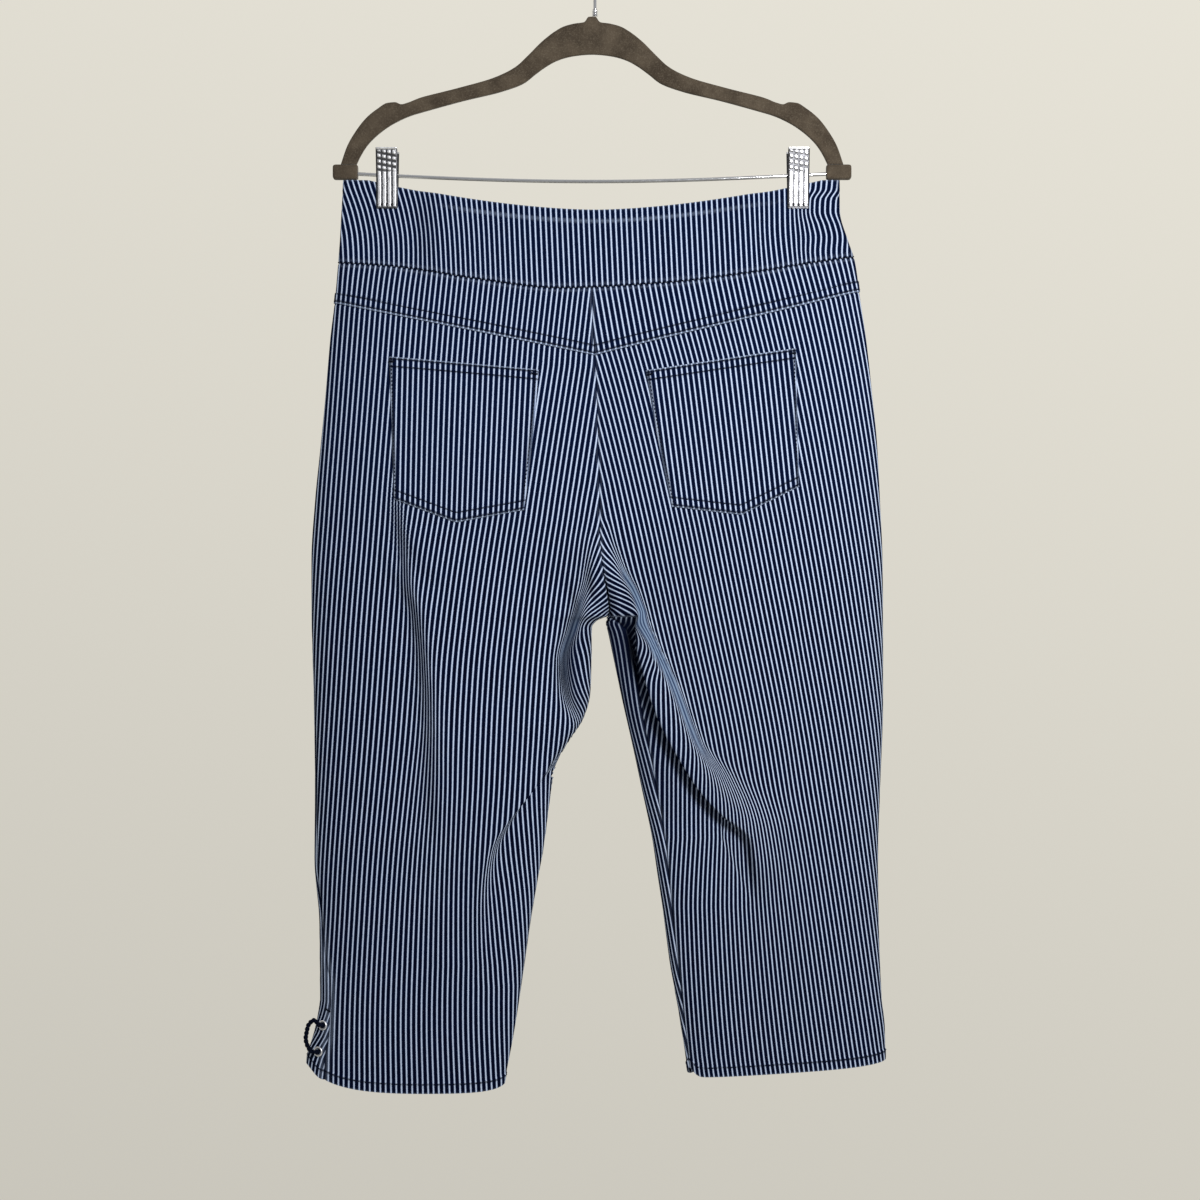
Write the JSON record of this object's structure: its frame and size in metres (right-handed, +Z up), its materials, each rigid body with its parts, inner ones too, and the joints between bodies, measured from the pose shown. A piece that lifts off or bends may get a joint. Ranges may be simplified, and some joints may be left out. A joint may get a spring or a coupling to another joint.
{
  "type": "capri pants on a clip hanger",
  "caption": "Pull-on capri pants in narrow dark and light stripes, back view, with a wide waistband, yoke, patch pockets and laced hem vents, hanging from a clip hanger.",
  "frame": {"origin": "inside top of the hanger's hook, where a rail carries it", "axes": "+Z up, the back of the pants faces -Y, the wearer's left is at -X"},
  "size_m": [0.4971, 0.0518, 1.0128],
  "materials": {
    "denim": "striped woven stretch cotton, matt",
    "eyelet_metal": "polished nickel",
    "lace": "twisted dark cord",
    "flock": "flocked, velvety",
    "chrome": "polished"
  },
  "bodies": {
    "root": {"waistband_back": "denim", "waistband_front": "denim", "yoke_back_left": "denim", "yoke_back_right": "denim", "leg_back_left": "denim", "leg_back_right": "denim", "leg_front_left": "denim", "leg_front_right": "denim", "pocket_left": "denim", "pocket_right": "denim", "eyelet_upper_left": "eyelet_metal", "eyelet_upper_right": "eyelet_metal", "eyelet_lower_left": "eyelet_metal", "eyelet_lower_right": "eyelet_metal", "vent_lace_left": "lace", "vent_lace_right": "lace", "hanger_arch": "flock", "hanger_cap_left": "flock", "hanger_cap_right": "flock", "trouser_bar": "chrome", "hanger_hook": "chrome", "hook_collar": "chrome", "clip_left_back": "chrome", "clip_left_front": "chrome", "clip_right_back": "chrome", "clip_right_front": "chrome", "clip_spring_left": "chrome", "clip_spring_right": "chrome"}
  },
  "joints": []
}
